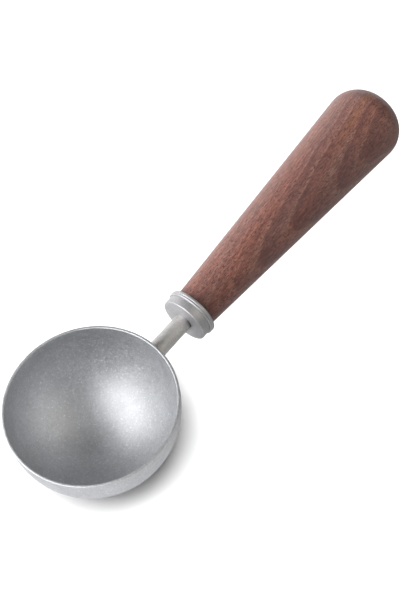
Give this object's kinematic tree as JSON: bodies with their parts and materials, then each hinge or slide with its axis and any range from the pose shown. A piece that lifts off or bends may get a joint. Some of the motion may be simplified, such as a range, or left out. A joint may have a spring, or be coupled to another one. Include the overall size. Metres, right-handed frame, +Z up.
{
  "type": "coffee scoop",
  "caption": "Coffee scoop with a half-ball steel bowl, a short round neck, a turned steel ferrule and a tapered walnut handle with a rounded end.",
  "frame": {"origin": "bottom centre of the scoop's box as it lies on a table, on the ball of its bowl and the end of its handle", "axes": "+X along the handle, from the bowl to the handle's end; +Z up from the table; the rim slopes down towards the handle by about 3 degrees"},
  "size_m": [0.1554, 0.048, 0.0276],
  "materials": {
    "steel": "tumbled satin stainless steel",
    "walnut": "turned walnut with a thin matt oil",
    "glue": "cured epoxy"
  },
  "bodies": {
    "root": {"bowl": "steel", "neck_weld": "steel", "shank": "steel", "ferrule": "steel", "tang_glue": "glue", "handle": "walnut"}
  },
  "joints": []
}
